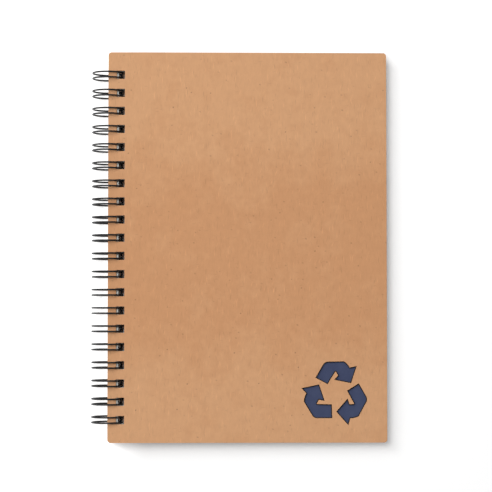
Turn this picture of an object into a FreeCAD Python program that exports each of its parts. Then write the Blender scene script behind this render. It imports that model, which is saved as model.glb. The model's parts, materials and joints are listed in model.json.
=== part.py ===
import FreeCAD, Part
import math
import os

from FreeCAD import Vector

# A pocket notebook with kraft board covers, bound along its left edge with closed twin-loop wire.
# Every piece is drawn with the wire rings' common axis as the Y axis: X runs from the axis to
# the fore edge, Z up through the closed book. Lengths are millimetres, angles are degrees.
# At the end the whole book is tipped and lifted as one, to lie on a table as the real one does.

# Cover boards
cover_height = 182.0
cover_width = 130.0
board_thickness = 1.0
cover_corner_radius = 1.5

# Square holes punched in one row, three to the inch
hole_pitch = 25.4 / 3
hole_side = 3.8
hole_margin = 3.9        # board between the binding edge and the hole
hole_end_room = 10.0     # least distance from the end of the board to the centre of a hole

# Coloured paper glued inside the front cover, seen through the cut-out arrows
lining_thickness = 0.2
lining_inset = 1.5

# Sheets, cut a little smaller than the covers
sheet_count = 70
sheet_thickness = 0.1
sheet_corner_radius = 1.5
sheet_back_setback = 0.9     # from the covers' binding edge
sheet_fore_setback = 1.6     # from the covers' fore edge
sheet_end_setback = 1.0      # from the covers' head and foot

# Twin-loop wire
wire_diameter = 0.8
axis_to_cover = 0.4      # from the rings' axis to the covers' binding edge
ring_play = 0.57         # between the ring's inside and the hole, at the cover's outer face
leg_play = 0.24          # between each leg of a pair and the side of its hole
root_bend_radius = 0.9
root_stub = 1.2          # straight end left where the wire is cut, at head and foot
root_lift = 0.18         # between the roots and the back cover
seam_gap = 0.34          # between the loops' tips and the roots
groove_play = 0.2        # round the roots, where they press into the last sheets

# Three equal arrows chasing each other round a centre, cut through the front cover
symbol_to_fore_edge = 24.1
symbol_to_foot = 23.0
arrow_count = 3
# The uppermost arrow's corners from the symbol's centre
arrow_tail_outer = Vector(-8.78, 7.29, 0)
arrow_tail_inner = Vector(-3.80, 4.62, 0)
arrow_outer_fold = Vector(-4.83, 14.16, 0)
arrow_outer_corner = Vector(3.84, 14.34, 0)
arrow_outer_swell = Vector(5.40, 13.00, 0)   # on the curve from that corner to the head
arrow_outer_root = Vector(6.50, 11.37, 0)
arrow_outer_barb = Vector(9.35, 12.08, 0)
arrow_tip = Vector(7.04, 5.05, 0)
arrow_inner_barb = Vector(0.11, 6.40, 0)
arrow_inner_root = Vector(1.71, 8.17, 0)
arrow_inner_fold = Vector(0.04, 10.90, 0)
outer_fold_radius = 2.4
inner_fold_radius = 0.65

# Levels, from the middle of the closed book
page_thickness = sheet_count * sheet_thickness
book_thickness = page_thickness + lining_thickness + 2 * board_thickness
book_top = book_thickness / 2
book_bottom = -book_thickness / 2
page_bottom = book_bottom + board_thickness
lining_bottom = page_bottom + page_thickness
front_bottom = lining_bottom + lining_thickness

# Places along X and Y
cover_back = axis_to_cover
cover_fore = cover_back + cover_width
hole_back = cover_back + hole_margin
page_back = cover_back + sheet_back_setback
page_width = cover_width - sheet_back_setback - sheet_fore_setback
page_height = cover_height - 2 * sheet_end_setback
page_hole_back = page_back + hole_margin
hole_count = int((cover_height - 2 * hole_end_room) / hole_pitch) + 1
hole_centres = [(i - (hole_count - 1) / 2) * hole_pitch for i in range(hole_count)]

# Wire rings: as small as lets them pass the covers' holes
wire_radius = wire_diameter / 2
ring_inner_radius = math.hypot(hole_back + ring_play, book_top)
ring_radius = ring_inner_radius + wire_radius
ring_outer_radius = ring_radius + wire_radius
leg_offset = hole_side / 2 - leg_play - wire_radius

# The roots lie just above the back cover, and the legs bend into them
root_level = page_bottom + root_lift + wire_radius
root_distance = math.hypot(ring_radius, root_bend_radius)
leg_start = math.degrees(math.asin(root_level / root_distance)
                         + math.atan2(root_bend_radius, ring_radius))
root_reach = math.sqrt(root_distance**2 - root_level**2)

# The tips close up to the roots from below, each between the bends of its own pair
bend_span = leg_offset + root_bend_radius
seam_reach = math.sqrt((bend_span + wire_diameter + seam_gap)**2 - bend_span**2)
leg_end = leg_start - math.degrees(seam_reach / ring_radius) + 360

# At rest the rings' underside and the back cover's fore edge both touch the table
tip_angle = math.degrees(math.asin(ring_outer_radius / math.hypot(cover_fore, book_bottom))
                         - math.atan2(-book_bottom, cover_fore))


def rounded_slab(back, width, height, bottom, thickness, corner_radius):
    """A flat board or stack, centred on Y, with its four upright corners rounded."""
    slab = Part.makeBox(width, height, thickness, Vector(back, -height / 2, bottom))
    uprights = [e for e in slab.Edges if abs(e.tangentAt(e.FirstParameter).z) > 0.5]
    return slab.makeFillet(corner_radius, uprights)


def punched_holes(back, bottom, thickness):
    """The plugs that the punch takes out of a board or stack, one for each pair of legs."""
    return [
        Part.makeBox(hole_side, hole_side, thickness, Vector(back, y - hole_side / 2, bottom))
        for y in hole_centres
    ]


def rounded_corner(before, corner, after, radius):
    """The arc that rounds a corner of an outline, with its two ends."""
    into = (before - corner).normalize()
    out = (after - corner).normalize()
    half_angle = into.getAngle(out) / 2
    start = corner + into * (radius / math.tan(half_angle))
    end = corner + out * (radius / math.tan(half_angle))
    bisector = (into + out).normalize()
    middle = corner + bisector * (radius / math.sin(half_angle) - radius)
    return start, Part.Arc(start, middle, end).toShape(), end


def arrow_outline():
    """The uppermost arrow: a folded band with a barbed head, as one closed wire."""
    outer_start, outer_arc, outer_end = rounded_corner(
        arrow_tail_outer, arrow_outer_fold, arrow_outer_corner, outer_fold_radius)
    inner_start, inner_arc, inner_end = rounded_corner(
        arrow_inner_root, arrow_inner_fold, arrow_tail_inner, inner_fold_radius)
    swell = Part.Arc(arrow_outer_corner, arrow_outer_swell, arrow_outer_root).toShape()
    head = [arrow_outer_root, arrow_outer_barb, arrow_tip, arrow_inner_barb, arrow_inner_root]
    return Part.Wire(
        [Part.makeLine(arrow_tail_outer, outer_start), outer_arc,
         Part.makeLine(outer_end, arrow_outer_corner), swell]
        + [Part.makeLine(a, b) for a, b in zip(head, head[1:])]
        + [Part.makeLine(arrow_inner_root, inner_start), inner_arc,
           Part.makeLine(inner_end, arrow_tail_inner),
           Part.makeLine(arrow_tail_inner, arrow_tail_outer)])


def arrow_cutouts():
    """The three plugs that the cutting die takes out of the front cover."""
    centre = Vector(cover_fore - symbol_to_fore_edge, symbol_to_foot - cover_height / 2,
                    front_bottom)
    arrow = Part.Face(arrow_outline()).extrude(Vector(0, 0, board_thickness))
    arrow.translate(centre)
    return [
        arrow.rotated(centre, Vector(0, 0, 1), 360 / arrow_count * i)
        for i in range(arrow_count)
    ]


def make_front_cover():
    board = rounded_slab(cover_back, cover_width, cover_height, front_bottom,
                         board_thickness, cover_corner_radius)
    return board.cut(punched_holes(hole_back, front_bottom, board_thickness)
                     + arrow_cutouts())


def make_cover_lining():
    paper = rounded_slab(cover_back + lining_inset, cover_width - 2 * lining_inset,
                         cover_height - 2 * lining_inset, lining_bottom,
                         lining_thickness, cover_corner_radius)
    return paper.cut(punched_holes(hole_back, lining_bottom, lining_thickness))


def make_page_block():
    """All the sheets as one stack, with the last ones pressed up along the wire's roots."""
    stack = rounded_slab(page_back, page_width, page_height, page_bottom,
                         page_thickness, sheet_corner_radius)
    groove_width = wire_diameter + 2 * groove_play
    roots_end = hole_centres[-1] + bend_span + root_stub + groove_play
    groove = Part.makeBox(
        groove_width, 2 * roots_end, root_lift + wire_diameter + groove_play,
        Vector(root_reach - groove_width / 2, -roots_end, page_bottom))
    return stack.cut(punched_holes(page_hole_back, page_bottom, page_thickness) + [groove])


def make_back_cover():
    board = rounded_slab(cover_back, cover_width, cover_height, book_bottom,
                         board_thickness, cover_corner_radius)
    return board.cut(punched_holes(hole_back, book_bottom, board_thickness))


def ring_point(angle, y):
    """A point on the wire's centre line, on the circle round the rings' axis."""
    a = math.radians(angle)
    return Vector(ring_radius * math.cos(a), y, ring_radius * math.sin(a))


def along_ring(angle):
    """The direction in which the circle runs there, away from the roots."""
    a = math.radians(angle)
    return Vector(-math.sin(a), 0, math.cos(a))


def leg(y, from_angle, to_angle):
    """One leg, nearly a full circle between the roots and the tip."""
    middle = ring_point((from_angle + to_angle) / 2, y)
    return Part.Arc(ring_point(from_angle, y), middle, ring_point(to_angle, y)).toShape()


def root_bend(leg_y, side, outwards):
    """The quarter turn between a leg and the root on that side of its pair."""
    down = along_ring(leg_start) * -root_bend_radius
    across = Vector(0, side * root_bend_radius, 0)
    at_leg = ring_point(leg_start, leg_y)
    centre = at_leg + across
    at_root = centre + down
    middle = centre + (down - across) * math.sqrt(0.5)
    ends = (at_leg, at_root) if outwards else (at_root, at_leg)
    return Part.Arc(ends[0], middle, ends[1]).toShape()


def wire_path():
    """The wire's centre line from one cut end to the other."""
    root = Vector(root_reach, 0, root_level)
    first_bend = hole_centres[0] - bend_span
    edges = [Part.makeLine(root + Vector(0, first_bend - root_stub, 0),
                           root + Vector(0, first_bend, 0))]
    for y in hole_centres:
        low, high = y - leg_offset, y + leg_offset
        tip = ring_point(leg_end, y) + along_ring(leg_end) * leg_offset
        hairpin = Part.Arc(ring_point(leg_end, low), tip, ring_point(leg_end, high))
        straight = root_stub if y == hole_centres[-1] else hole_pitch - 2 * bend_span
        edges += [
            root_bend(low, -1, outwards=False),
            leg(low, leg_start, leg_end),
            hairpin.toShape(),
            leg(high, leg_end, leg_start),
            root_bend(high, 1, outwards=True),
            Part.makeLine(root + Vector(0, y + bend_span, 0),
                          root + Vector(0, y + bend_span + straight, 0)),
        ]
    return Part.Wire(edges)


def make_binding_wire():
    """One steel wire, bent back and forth into pairs of legs and closed round the book."""
    path = wire_path()
    start = path.OrderedVertexes[0].Point
    section = Part.Face(Part.Wire(Part.makeCircle(wire_radius, start, Vector(0, 1, 0))))
    return path.makePipe(section)


def at_rest(shape):
    """Tips the book about the rings' axis and stands it on the table, centred along X."""
    shape.rotate(Vector(0, 0, 0), Vector(0, 1, 0), tip_angle)
    tip = math.radians(tip_angle)
    fore_side = cover_fore * math.cos(tip) + book_top * math.sin(tip)
    shape.translate(Vector((ring_outer_radius - fore_side) / 2, 0, ring_outer_radius))
    return shape


pieces = {
    "front_cover": make_front_cover(),
    "cover_lining": make_cover_lining(),
    "page_block": make_page_block(),
    "back_cover": make_back_cover(),
    "binding_wire": make_binding_wire(),
}

os.makedirs("parts", exist_ok=True)
for name, shape in pieces.items():
    at_rest(shape).exportStep(f"parts/{name}.step")
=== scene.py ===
import json
import math
import random

import bmesh
import bpy
from mathutils import Matrix, Vector


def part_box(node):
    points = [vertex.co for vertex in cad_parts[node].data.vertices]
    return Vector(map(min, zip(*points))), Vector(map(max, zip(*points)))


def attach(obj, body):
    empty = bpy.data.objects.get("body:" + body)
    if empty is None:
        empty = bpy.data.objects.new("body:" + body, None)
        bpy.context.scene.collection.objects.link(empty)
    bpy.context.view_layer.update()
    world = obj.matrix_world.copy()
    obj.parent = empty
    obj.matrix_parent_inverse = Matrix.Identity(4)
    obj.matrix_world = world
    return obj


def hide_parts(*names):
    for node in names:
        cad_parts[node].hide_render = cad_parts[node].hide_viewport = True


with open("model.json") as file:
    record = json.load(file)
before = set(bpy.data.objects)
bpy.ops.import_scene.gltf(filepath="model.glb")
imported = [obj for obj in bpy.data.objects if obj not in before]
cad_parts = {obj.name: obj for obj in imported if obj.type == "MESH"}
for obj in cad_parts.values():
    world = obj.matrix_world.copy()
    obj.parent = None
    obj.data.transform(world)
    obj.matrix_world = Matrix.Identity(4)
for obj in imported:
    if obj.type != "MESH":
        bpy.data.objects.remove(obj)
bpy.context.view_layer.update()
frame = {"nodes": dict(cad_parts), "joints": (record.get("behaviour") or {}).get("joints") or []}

# The front cover is one sheet of kraft board, a millimetre thick and uncoated. It is trimmed and
# punched, which crushes its edges a little, and three arrows that chase each other are cut
# through it. Their cut rims are painted a dark brown black: painted shade for the shade inside the
# cut.
board_edge_crush = 0.00011
# width of the arrows' bevelled rims, which carry the painted shade
arrow_rim_shade_width = 0.00040
arrow_room = 0.0085          # within this of the board's outline there is no arrow
kraft_deep = (0.574, 0.290, 0.141, 1)
kraft_pale = (0.620, 0.336, 0.173, 1)
kraft_core = (0.500, 0.285, 0.150, 1)
# painted shade for the arrows' cut rims
arrow_rim_shade_colour = (0.030, 0.024, 0.022, 1)
painted_shade_middle = -0.006         # painted shade: the board is painted a shade deeper about here along its length
painted_shade_reach = 0.018
painted_sheen_reach = 0.072
most_of_noise = (0.3, 0.7)   # soft noise keeps mostly between these
all_of_noise = (0.25, 0.75)  # and nearly always between these
cloud_cycles = (75, 60, 75)  # cycles a metre along X, Y and Z, as for the other patterns
blotch_cycles = (290, 240, 290)
stroke_cycles = (1150, 330, 1150)
grain_cycles = (3200, 1800, 3200)
ply_cycles = (300, 300, 7000)
fibre_kinds = [              # cells a metre, turn in degrees, share of cells, size, brightness
    ((1300, 170, 0), 4, 0.12, 0.30, 0.86),
    ((1500, 240, 0), -13, 0.08, 0.30, 0.86),
    ((1200, 150, 0), -3, 0.10, 0.30, 1.14),
    ((1400, 210, 0), 17, 0.06, 0.30, 1.13),
    ((1300, 260, 0), 84, 0.06, 0.30, 0.90),
    ((300, 420, 0), 25, 0.04, 0.18, 0.72),
    ((330, 270, 0), 50, 0.022, 0.12, 0.54)]
smallest_flaw = 0.000002     # corners of the board's mesh that are closer than this are one
flat_turn = math.radians(1)
sharp_turn = math.radians(45)
facing_up = 0.97             # how far a face looks along the board's own: more than this is flat
facing_out = 0.35            # and less than this is a cut edge
surface_slot, edge_slot, rim_shade_slot = range(3)


def new_material(name):
    """A material with only its shader, and the shader and the node tree to add to."""
    material = bpy.data.materials.new(name)
    material.use_nodes = True
    return material, material.node_tree, material.node_tree.nodes["Principled BSDF"]


def add(tree, kind, inputs=(), **settings):
    """A node with its settings made, and each named input filled or linked."""
    made = tree.nodes.new(kind)
    for key, value in settings.items():
        setattr(made, key, value)
    for key, value in dict(inputs).items():
        if isinstance(value, bpy.types.NodeSocket):
            tree.links.new(value, made.inputs[key])
        else:
            made.inputs[key].default_value = value
    return made


def object_pattern(tree, scale, turn=0.0):
    """The piece's own coordinates in metres, turned about Z and scaled to cycles a metre."""
    place = add(tree, "ShaderNodeTexCoord")
    turned = add(tree, "ShaderNodeMapping", {
        "Vector": place.outputs["Object"], "Rotation": (0, 0, math.radians(turn))})
    return add(tree, "ShaderNodeMapping", {
        "Vector": turned.outputs[0], "Scale": scale}).outputs[0]


def noise(tree, scale, detail=2.0, roughness=0.5):
    """Soft noise, stretched by a different scale along each axis."""
    return add(tree, "ShaderNodeTexNoise", {
        "Vector": object_pattern(tree, scale), "Scale": 1.0, "Detail": detail,
        "Roughness": roughness}).outputs[0]


def ranged(tree, value, span, to_low, to_high, kind="LINEAR"):
    """A value taken from one range to another and held at its ends."""
    return add(tree, "ShaderNodeMapRange", {
        "Value": value, "From Min": span[0], "From Max": span[1],
        "To Min": to_low, "To Max": to_high}, interpolation_type=kind).outputs[0]


def reckoned(tree, operation, *values):
    """Several values taken together, two at a time, by one kind of sum."""
    total = values[0]
    for value in values[1:]:
        total = add(tree, "ShaderNodeMath", {0: total, 1: value}, operation=operation).outputs[0]
    return total


def away_from(tree, middle):
    """How far a point is from a place along X, Y and Z, without sign."""
    place = add(tree, "ShaderNodeTexCoord").outputs["Object"]
    way = add(tree, "ShaderNodeVectorMath", {0: place, 1: middle}, operation="SUBTRACT")
    way = add(tree, "ShaderNodeVectorMath", {0: way.outputs[0]}, operation="ABSOLUTE")
    return add(tree, "ShaderNodeSeparateXYZ", {0: way.outputs[0]}).outputs


def scattered(tree, scale, turn, chance, size, brightness):
    """Brightness of marks strewn one to a cell: a share of cells holds one, as long as the cell."""
    cells = add(tree, "ShaderNodeTexVoronoi", {
        "Vector": object_pattern(tree, scale, turn), "Scale": 1.0}, voronoi_dimensions="2D")
    draw = add(tree, "ShaderNodeSeparateXYZ", {0: cells.outputs["Color"]}).outputs
    chosen = ranged(tree, draw[0], (chance, chance + 0.02), 1, 0)
    strength = ranged(tree, draw[1], (0, 1), 0.25, 1)
    mark = ranged(tree, cells.outputs["Distance"], (size * 0.4, size), 1, 0)
    return ranged(tree, reckoned(tree, "MULTIPLY", chosen, strength, mark), (0, 1), 1, brightness)


def mixed(tree, factor, first, second, blend="MIX"):
    """Two colours mixed by a factor."""
    mix = add(tree, "ShaderNodeMix", data_type="RGBA", blend_type=blend)
    for socket, value in zip((mix.inputs[0], mix.inputs[6], mix.inputs[7]),
                             (factor, first, second)):
        if isinstance(value, bpy.types.NodeSocket):
            tree.links.new(value, socket)
        else:
            socket.default_value = value
    return mix.outputs[2]


def shaded(tree, colour, level):
    """A colour made brighter or darker by a level."""
    grey = add(tree, "ShaderNodeCombineXYZ", {0: level, 1: level, 2: level}).outputs[0]
    return mixed(tree, 1.0, colour, grey, "MULTIPLY")


def emboss(tree, shader, height, strength, depth):
    """Gives a surface a fine relief."""
    bump = add(tree, "ShaderNodeBump", {
        "Height": height, "Strength": strength, "Distance": depth})
    tree.links.new(bump.outputs[0], shader.inputs["Normal"])


def kraft_surface():
    """The board's face: brown with short upright fibres, strewn hairs and dark bark specks, and a
    painted sheen that makes it paler towards head and foot.
    """
    material, tree, shader = new_material("kraft_surface")
    # painted light: a sheen painted paler towards the head and foot, deeper about the middle
    painted_sheen_band = ranged(tree, away_from(tree, (0, painted_shade_middle, 0))[1], (painted_shade_reach, painted_sheen_reach), 0, 1,
                  "SMOOTHSTEP")
    clouds = noise(tree, cloud_cycles, detail=3)
    blotches = noise(tree, blotch_cycles, detail=3, roughness=0.6)
    strokes = noise(tree, stroke_cycles, detail=3, roughness=0.6)
    grain = noise(tree, grain_cycles, detail=2, roughness=0.7)
    pale = reckoned(tree, "ADD", painted_sheen_band, ranged(tree, clouds, most_of_noise, -0.32, 0.32),
                    ranged(tree, blotches, most_of_noise, -0.14, 0.14))
    colour = mixed(tree, pale, kraft_deep, kraft_pale)
    level = reckoned(
        tree, "MULTIPLY",
        ranged(tree, blotches, all_of_noise, 0.966, 1.034),
        ranged(tree, strokes, all_of_noise, 0.968, 1.032),
        ranged(tree, grain, all_of_noise, 0.990, 1.010),
        *[scattered(tree, *kind) for kind in fibre_kinds])
    tree.links.new(shaded(tree, colour, level), shader.inputs["Base Color"])
    emboss(tree, shader, reckoned(tree, "ADD", grain, strokes), strength=0.3, depth=0.00004)
    shader.inputs["Roughness"].default_value = 0.85
    shader.inputs["Specular IOR Level"].default_value = 0.25
    return material


def kraft_cut_edge():
    """The board cut across: its pressed plies show as fine lines along the edge."""
    material, tree, shader = new_material("kraft_cut_edge")
    plies = noise(tree, ply_cycles, detail=3, roughness=0.7)
    level = ranged(tree, plies, most_of_noise, 0.82, 1.1)
    tree.links.new(shaded(tree, kraft_core, level), shader.inputs["Base Color"])
    emboss(tree, shader, plies, strength=0.5, depth=0.00005)
    shader.inputs["Roughness"].default_value = 0.95
    shader.inputs["Specular IOR Level"].default_value = 0.15
    return material


def painted_rim_shade():
    """Painted shade for the arrows' cut rims: a dull brown black."""
    material, _, shader = new_material("painted_rim_shade")
    shader.inputs["Base Color"].default_value = arrow_rim_shade_colour
    shader.inputs["Roughness"].default_value = 0.95
    shader.inputs["Specular IOR Level"].default_value = 0.1
    return material


def finished_piece(name, bm, materials, body):
    """Puts a mesh into the scene as a piece that rides on its body."""
    mesh = bpy.data.meshes.new(name)
    bm.to_mesh(mesh)
    bm.free()
    for material in materials:
        mesh.materials.append(material)
    piece = bpy.data.objects.new(name, mesh)
    bpy.context.scene.collection.objects.link(piece)
    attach(piece, body)
    return piece


def crushed_board(node):
    """A board in its own cut shape, with its trimmed edges crushed and its arrows' rims painted
    with shade.
    """
    bm = bmesh.new()
    bm.from_mesh(frame["nodes"][node].data)
    bmesh.ops.remove_doubles(bm, verts=bm.verts, dist=smallest_flaw)
    bmesh.ops.dissolve_limit(bm, angle_limit=flat_turn, verts=bm.verts, edges=bm.edges)
    face_up = max(bm.faces, key=lambda f: f.calc_area()).normal.copy()
    reaches = [[v.co.x for v in bm.verts], [v.co.y for v in bm.verts]]
    inside = [(min(r) + arrow_room, max(r) - arrow_room) for r in reaches]

    def in_arrows(place):
        return all(low < at < high for at, (low, high) in zip(place, inside))

    # the arrows' rims are bevelled wider, to carry the painted shade
    for rim_in_shade, width in ((False, board_edge_crush), (True, arrow_rim_shade_width)):
        rims = [e for e in bm.edges if e.calc_face_angle(0) > sharp_turn
                and in_arrows(e.verts[0].co) == rim_in_shade]
        bmesh.ops.bevel(bm, geom=rims, offset=width, affect="EDGES",
                        segments=2, profile=0.5, material=-1)
    bmesh.ops.triangulate(bm, faces=[f for f in bm.faces if len(f.verts) > 4])
    for face in bm.faces:
        facing = abs(face.normal.dot(face_up))
        face.material_index = edge_slot if facing < facing_out else surface_slot
        # the arrows' walls and rims get the painted shade
        if facing < facing_up and in_arrows(face.calc_center_median()):
            face.material_index = rim_shade_slot
    return bm


kraft = [kraft_surface(), kraft_cut_edge(), painted_rim_shade()]
front_board = finished_piece("front_board", crushed_board("front_cover"), kraft,
                             "front_cover")
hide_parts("front_cover")

# The lining is thin dark blue paper, glued to the inside of the front cover. It shows as the
# colour of the arrows, a board's thickness down, and covers the inside when the book is open.
lining_blue = (0.041, 0.053, 0.114, 1)
lining_blue_worn = (0.050, 0.064, 0.130, 1)
lining_cycles = (260, 200, 260)
lining_tooth_cycles = (2600, 2000, 2600)


def lining_paper():
    """Matt coloured paper, a shade uneven."""
    material, tree, shader = new_material("lining_paper")
    worn = ranged(tree, noise(tree, lining_cycles, detail=3), most_of_noise, 0, 1)
    tree.links.new(mixed(tree, worn, lining_blue, lining_blue_worn), shader.inputs["Base Color"])
    emboss(tree, shader, noise(tree, lining_tooth_cycles), strength=0.3, depth=0.00002)
    shader.inputs["Roughness"].default_value = 0.8
    shader.inputs["Specular IOR Level"].default_value = 0.3
    return material


lining = frame["nodes"]["cover_lining"]
lining.data.materials.clear()
lining.data.materials.append(lining_paper())

# The back cover is the same board, cut and punched alike but without the arrows. It lies under
# the sheets, and the wire holds it by its holes as it holds the front cover.
back_board = finished_piece("back_board", crushed_board("back_cover"), kraft,
                            "back_cover")
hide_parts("back_cover")

# The sheets are seventy leaves of writing paper, cut as a stack and punched in lifts,
# so their edges are nearly flush but no two lie exactly alike. Their colour is painted greyer
# than white paper, as painted shade for the paper seen down in the punched holes. The lowest
# ones are pressed up where the wire's roots run between them and the back cover.
sheet_count = 70
sheet_pitch = 0.0001
sheet_air = 0.000012
sheet_width = 0.1275
sheet_height = 0.180
sheet_back = 0.0013          # from the rings' axis, as are the other places along a leaf
sheet_margin = 0.0039
sheet_corner = 0.0015
hole_side = 0.0038
hole_pitch = 0.0254 / 3
hole_count = 20
leaf_shift = 0.00004
lift_shift = 0.00008
lift_size = 18
stack_draw = 7
pages_bottom = -0.0036
dent_depth = 0.00108
dent_reach = 0.0030          # how far up the stack the leaves feel the roots
dent_middle = 0.006485
dent_flat = 0.0006
dent_slope = 0.0010
dent_end = 0.0840
# painted shade: the paper is painted greyer than white, for the paper seen down in the punched
# holes
paper_white = (0.66, 0.65, 0.61, 1)
paper_shaded = (0.54, 0.53, 0.49, 1)
paper_tooth_cycles = (2500, 2500, 2500)

# The closed book's frame: the rings' axis along Y, the sheets level, before the book is tipped
ring_axis = Vector(frame["joints"][0]["pos_m"])
cover_faces = frame["nodes"]["front_cover"].data.polygons
cover_normal = max(cover_faces, key=lambda f: f.area).normal
tip_angle = math.atan2(abs(cover_normal.x), abs(cover_normal.z))
rest = Matrix.Translation(ring_axis) @ Matrix.Rotation(tip_angle, 4, "Y")
hole_centres = [(i - (hole_count - 1) / 2) * hole_pitch for i in range(hole_count)]


def writing_paper():
    """Plain paper. Seen along the edges of the stack, each leaf has its own shade."""
    material, tree, shader = new_material("writing_paper")
    place = add(tree, "ShaderNodeTexCoord")
    leaves = add(tree, "ShaderNodeMapping", {
        "Vector": place.outputs["Object"], "Location": ring_axis,
        "Rotation": (0, tip_angle, 0), "Scale": (1, 1, sheet_pitch)}, vector_type="TEXTURE")
    height = add(tree, "ShaderNodeSeparateXYZ", {0: leaves.outputs[0]}).outputs[2]
    leaf = add(tree, "ShaderNodeMath", {0: height, 1: sheet_air / sheet_pitch / 2},
               operation="ADD").outputs[0]
    number = add(tree, "ShaderNodeMath", {0: leaf}, operation="FLOOR").outputs[0]
    shade = add(tree, "ShaderNodeTexWhiteNoise", {"W": number}, noise_dimensions="1D").outputs[0]
    colour = mixed(tree, shade, paper_white, paper_shaded)
    tree.links.new(colour, shader.inputs["Base Color"])
    emboss(tree, shader, noise(tree, paper_tooth_cycles), strength=0.2, depth=0.00002)
    shader.inputs["Roughness"].default_value = 0.8
    shader.inputs["Specular IOR Level"].default_value = 0.3
    return material


def punched_leaf(columns, rows):
    """One leaf: a grid of cells on those lines, less the punched ones, given its thickness."""
    bm = bmesh.new()
    bmesh.ops.create_grid(bm, x_segments=len(columns) - 1, y_segments=len(rows) - 1, size=1)
    bm.verts.ensure_lookup_table()
    for i, vert in enumerate(bm.verts):
        vert.co = (columns[i % len(columns)], rows[i // len(columns)], 0)
    hole_middle = sheet_back + sheet_margin + hole_side / 2
    punched = []
    for face in bm.faces:
        centre = face.calc_center_median()
        off_row = min(abs(centre.y - y) for y in hole_centres)
        if abs(centre.x - hole_middle) < hole_side / 2 and off_row < hole_side / 4:
            punched.append(face)
    bmesh.ops.delete(bm, geom=punched, context="FACES")
    corners = [v for v in bm.verts if len(v.link_faces) == 1
               and abs(v.co.y) > sheet_height / 2 - sheet_corner]
    bmesh.ops.bevel(bm, geom=corners, offset=sheet_corner, affect="VERTICES",
                    segments=5, profile=0.5, material=-1)
    bmesh.ops.solidify(bm, geom=bm.faces, thickness=sheet_pitch - sheet_air)
    bmesh.ops.recalc_face_normals(bm, faces=bm.faces)
    bmesh.ops.translate(bm, verts=bm.verts, vec=(0, 0, -min(v.co.z for v in bm.verts)))
    leaf = bpy.data.meshes.new("leaf")
    bm.to_mesh(leaf)
    bm.free()
    return leaf


def pressed_up(place):
    """How far a point of the stack is moved up by the roots below it."""
    across = (abs(place.x - dent_middle) - dent_flat) / dent_slope
    along = (abs(place.y) - dent_end) / dent_slope
    depth = (place.z - pages_bottom) / dent_reach
    fade = [1 - min(max(f, 0), 1) for f in (across, along, depth)]
    return dent_depth * fade[0] * fade[1] * fade[2]


plain_columns = [sheet_back, sheet_back + sheet_margin, sheet_back + sheet_margin + hole_side,
                 sheet_back + sheet_width]
dent_columns = sorted(plain_columns + [
    dent_middle + side * half for side in (-1, 1) for half in (dent_flat, dent_flat + dent_slope)])
plain_rows = sorted([-sheet_height / 2, sheet_height / 2]
                    + [y + side * hole_side / 2 for y in hole_centres for side in (-1, 1)])
dent_rows = sorted(plain_rows + [
    side * end for side in (-1, 1) for end in (dent_end, dent_end + dent_slope)])
plain_leaf = punched_leaf(plain_columns, plain_rows)
pressed_leaf = punched_leaf(dent_columns, dent_rows)

uneven = random.Random(stack_draw)
bm = bmesh.new()
for number in range(sheet_count):
    if number % lift_size == 0:
        lift = Vector((uneven.uniform(-lift_shift, lift_shift),
                       uneven.uniform(-lift_shift, lift_shift), 0))
    level = pages_bottom + number * sheet_pitch
    shift = lift + Vector((uneven.uniform(-leaf_shift, leaf_shift),
                           uneven.uniform(-leaf_shift, leaf_shift), level))
    pressed = level < pages_bottom + dent_reach
    before = len(bm.verts)
    bm.from_mesh(pressed_leaf if pressed else plain_leaf)
    bm.verts.ensure_lookup_table()
    leaf_verts = bm.verts[before:]
    bmesh.ops.translate(bm, verts=leaf_verts, vec=shift)
    if pressed:
        for vert in leaf_verts:
            vert.co.z += pressed_up(vert.co)
bmesh.ops.transform(bm, matrix=rest, verts=bm.verts)
sheets = finished_piece("sheets", bm, [writing_paper()], "book")
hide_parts("page_block")

# The binding wire is one length of steel wire with a black nylon coat. It is bent back and
# forth into pairs of legs, hooked through the holes and pressed shut into rings, so that each
# pair's rounded tip meets the roots behind the last sheet.
wire_radius = 0.0004
ring_radius = 0.007099
leg_offset = 0.00126
root_bend_radius = 0.0009
root_stub = 0.0012
root_lift = 0.00018
seam_gap = 0.00034
wire_sides = 14
leg_steps = 44
tip_steps = 10
bend_steps = 6
wire_black = (0.009, 0.009, 0.010, 1)
coat_cycles = (900, 900, 900)
coat_pore_cycles = (3000, 3000, 3000)
root_level = pages_bottom + root_lift + wire_radius
root_reach = math.sqrt(ring_radius**2 + root_bend_radius**2 - root_level**2)
leg_start = math.atan2(root_level, root_reach) + math.atan2(root_bend_radius, ring_radius)
bend_span = leg_offset + root_bend_radius
seam_reach = math.sqrt((bend_span + 2 * wire_radius + seam_gap)**2 - bend_span**2)
leg_turn = 2 * math.pi - seam_reach / ring_radius


def coated_wire():
    """Nylon coat over steel: black, smooth, with a soft shine and a faint orange-peel."""
    material, tree, shader = new_material("coated_wire")
    shader.inputs["Base Color"].default_value = wire_black
    dull = noise(tree, coat_cycles, detail=3)
    tree.links.new(ranged(tree, dull, most_of_noise, 0.38, 0.50), shader.inputs["Roughness"])
    emboss(tree, shader, noise(tree, coat_pore_cycles), strength=0.15, depth=0.00002)
    shader.inputs["Specular IOR Level"].default_value = 0.4
    return material


def on_ring(angle, y):
    """A place on the wire's centre line in the closed book's frame."""
    return Vector((ring_radius * math.cos(angle), y, ring_radius * math.sin(angle)))


def bend(bm, end, centre, axis, turn, steps):
    """Carries the wire's open end round an axis, and gives its new end."""
    return bmesh.ops.spin(bm, geom=end, cent=centre, axis=axis, angle=turn, steps=steps,
                          use_merge=False, use_duplicate=False)["geom_last"]


def run_straight(bm, end, length):
    """Carries the wire's open end along Y."""
    rim = [g for g in end if isinstance(g, bmesh.types.BMEdge)]
    made = bmesh.ops.extrude_edge_only(bm, edges=rim)["geom"]
    verts = [g for g in made if isinstance(g, bmesh.types.BMVert)]
    bmesh.ops.translate(bm, verts=verts, vec=(0, length, 0))
    return verts + [g for g in made if isinstance(g, bmesh.types.BMEdge)]


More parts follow.
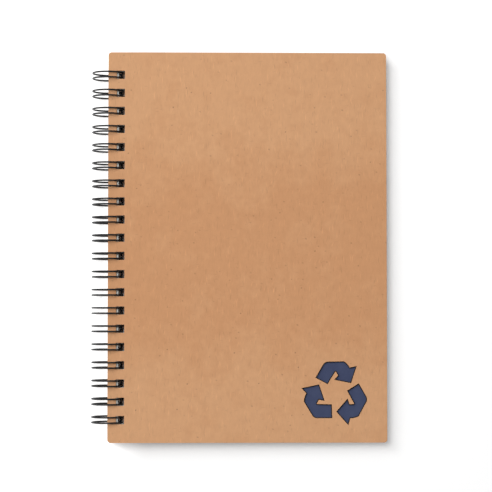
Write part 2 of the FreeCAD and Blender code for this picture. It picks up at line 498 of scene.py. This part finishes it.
def one_loop():
    """The wire from halfway along one root, round a pair of legs, to halfway along the next."""
    half_root = hole_pitch / 2 - bend_span
    leg_end = leg_start + leg_turn
    at_roots = Vector((math.cos(leg_start), 0, math.sin(leg_start)))
    at_tips = Vector((math.cos(leg_end), 0, math.sin(leg_end)))
    quarter = math.pi / 2
    first = Vector((root_reach, -hole_pitch / 2, root_level))
    bm = bmesh.new()
    bmesh.ops.create_circle(
        bm, cap_ends=False, radius=wire_radius, segments=wire_sides,
        matrix=Matrix.Translation(first) @ Matrix.Rotation(quarter, 4, "X"))
    end = run_straight(bm, list(bm.verts) + list(bm.edges), half_root)
    end = bend(bm, end, on_ring(leg_start, -bend_span), at_roots, quarter, bend_steps)
    end = bend(bm, end, (0, 0, 0), (0, -1, 0), leg_turn, leg_steps)
    end = bend(bm, end, on_ring(leg_end, 0), -at_tips, 2 * quarter, tip_steps)
    end = bend(bm, end, (0, 0, 0), (0, 1, 0), leg_turn, leg_steps)
    end = bend(bm, end, on_ring(leg_start, bend_span), at_roots, quarter, bend_steps)
    run_straight(bm, end, half_root)
    loop = bpy.data.meshes.new("loop")
    bm.to_mesh(loop)
    bm.free()
    return loop


loop = one_loop()
cut_place = hole_centres[-1] + bend_span + root_stub
bm = bmesh.new()
for y in hole_centres:
    before = len(bm.verts)
    bm.from_mesh(loop)
    bm.verts.ensure_lookup_table()
    bmesh.ops.translate(bm, verts=bm.verts[before:], vec=(0, y, 0))
bmesh.ops.remove_doubles(bm, verts=bm.verts, dist=wire_radius / 100)
for vert in bm.verts:
    vert.co.y = min(max(vert.co.y, -cut_place), cut_place)
bmesh.ops.holes_fill(bm, edges=[e for e in bm.edges if e.is_boundary], sides=wire_sides)
bmesh.ops.recalc_face_normals(bm, faces=bm.faces)
for face in bm.faces:
    face.smooth = len(face.verts) == 4
bmesh.ops.transform(bm, matrix=rest, verts=bm.verts)
wire = finished_piece("wire", bm, [coated_wire()], "book")
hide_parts("binding_wire")

# The table is a plain white top that runs out of view on all sides. To the camera it is lifted
# to white, and the book's shadow darkens it. It has no lift under the book, so that the punched
# holes stay dark, and more beside the rings with their many thin shadows and far from the lamps.
table_white = (0.88, 0.88, 0.88, 1)
table_half = 2.0
table_lift = 0.205
ring_side_lift = 0.48
ring_side_start = -0.045     # along X
ring_side_end = -0.060
far_lift = 0.9
far_start = 0.10             # from the book's middle
far_end = 0.38
lift_fade = 0.004
book_low, book_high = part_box("back_cover")
book_half = (book_high - book_low) / 2

table_paint, tree, shader = new_material("table_paint")
shader.inputs["Base Color"].default_value = table_white
shader.inputs["Roughness"].default_value = 0.9
shader.inputs["Specular IOR Level"].default_value = 0.0
rays = add(tree, "ShaderNodeLightPath").outputs
seen = reckoned(tree, "MAXIMUM", rays["Is Camera Ray"], rays["Is Glossy Ray"],
                rays["Is Transmission Ray"])
beside = away_from(tree, (book_low + book_high) / 2)
bare = reckoned(tree, "MAXIMUM",
                ranged(tree, beside[0], (book_half.x - lift_fade, book_half.x), 0, 1),
                ranged(tree, beside[1], (book_half.y - lift_fade, book_half.y), 0, 1))
across = add(tree, "ShaderNodeSeparateXYZ", {
    0: add(tree, "ShaderNodeTexCoord").outputs["Object"]}).outputs[0]
near = ranged(tree, across, (ring_side_end, ring_side_start), ring_side_lift, table_lift)
far = ranged(tree, reckoned(tree, "MAXIMUM", beside[0], beside[1]), (far_start, far_end),
             0, far_lift)
lift = reckoned(tree, "MAXIMUM", near, far)
shader.inputs["Emission Color"].default_value = (1, 1, 1, 1)
tree.links.new(reckoned(tree, "MULTIPLY", seen, bare, lift), shader.inputs["Emission Strength"])

bm = bmesh.new()
bmesh.ops.create_grid(bm, x_segments=1, y_segments=1, size=table_half)
mesh = bpy.data.meshes.new("table_top")
bm.to_mesh(mesh)
bm.free()
mesh.materials.append(table_paint)
table = bpy.data.objects.new("table_top", mesh)
bpy.context.scene.collection.objects.link(table)

# The light: a soft lamp almost overhead and a wider one further out, both over the book's upper
# left corner, which throw its shadow to the right and below, in a white room that is brighter
# on their side.
room_bright = 0.50
room_dim = 0.07
bright_side = Vector((-1, 1, 0)).normalized()


def lamp(name, place, size, power):
    """A square lamp that faces the middle of the table."""
    data = bpy.data.lights.new(name, "AREA")
    data.size = size
    data.energy = power
    made = bpy.data.objects.new(name, data)
    made.location = place
    made.rotation_euler = (-made.location).to_track_quat("-Z", "Y").to_euler()
    bpy.context.scene.collection.objects.link(made)


lamp("overhead_box", place=(-0.22, 0.18, 1.15), size=0.44, power=7.5)
lamp("window", place=(-0.76, 0.64, 1.25), size=0.60, power=6.9)

room = bpy.data.worlds.new("room")
room.use_nodes = True
tree = room.node_tree
background = tree.nodes["Background"]
background.inputs["Color"].default_value = (1, 1, 1, 1)
way = add(tree, "ShaderNodeTexCoord").outputs["Generated"]
facing = add(tree, "ShaderNodeVectorMath", {0: way, 1: bright_side}, operation="DOT_PRODUCT")
level = ranged(tree, facing.outputs["Value"], (-1, 1), room_dim, room_bright)
rays = add(tree, "ShaderNodeLightPath")
tree.links.new(reckoned(tree, "MAXIMUM", rays.outputs["Is Camera Ray"], level),
               background.inputs["Strength"])
bpy.context.scene.world = room
bpy.context.scene.view_settings.view_transform = "Standard"

# The camera hangs nearly 0.8 m over the book, a little towards its foot, and looks almost
# straight down at its middle.
view_width = 0.2293
view_distance = 0.780
view_towards_foot = 0.031
aim_beside_cover = Vector((-0.00072, 0.00043))
sensor_width = 36.0

low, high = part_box("front_cover")
aim = Vector(((low.x + high.x) / 2 + aim_beside_cover.x, aim_beside_cover.y,
              (low.z + high.z) / 2))
camera_data = bpy.data.cameras.new("overhead")
camera_data.sensor_width = sensor_width
camera_data.lens = sensor_width * view_distance / view_width
camera = bpy.data.objects.new("overhead", camera_data)
camera.location = aim + Vector((0, -view_towards_foot, view_distance))
camera.rotation_euler = (aim - camera.location).to_track_quat("-Z", "Y").to_euler()
bpy.context.scene.collection.objects.link(camera)
bpy.context.scene.camera = camera
